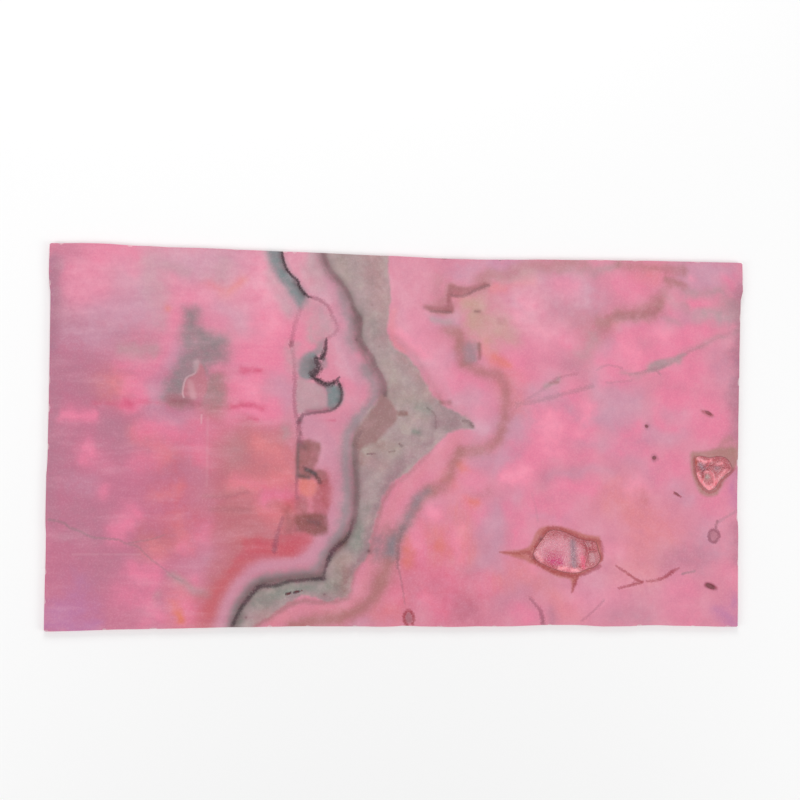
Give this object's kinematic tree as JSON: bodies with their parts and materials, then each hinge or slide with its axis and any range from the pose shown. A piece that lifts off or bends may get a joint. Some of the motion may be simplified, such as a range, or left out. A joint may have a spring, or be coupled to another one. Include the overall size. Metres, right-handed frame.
{
  "type": "polished onyx slab",
  "caption": "Large thin rectangular stone slab, polished on top, with slightly uneven sawn edges and shallow crystal-lined hollows open in the polished face.",
  "frame": {"origin": "centre of the bounding box on the sawn back, the surface the slab lies on", "axes": "+X along the slab's length, +Y across it towards the long edge where the broad grey vein is widest, +Z out of the polished face"},
  "size_m": [2.7112, 1.4634, 0.02],
  "materials": {
    "onyx": "polished on the upper face, sawn on the back and edges",
    "calcite_crystals": "natural crystal faces"
  },
  "bodies": {
    "root": {"onyx_slab": "onyx", "long_vug_crystals": "calcite_crystals", "edge_vug_crystals": "calcite_crystals"}
  },
  "joints": []
}
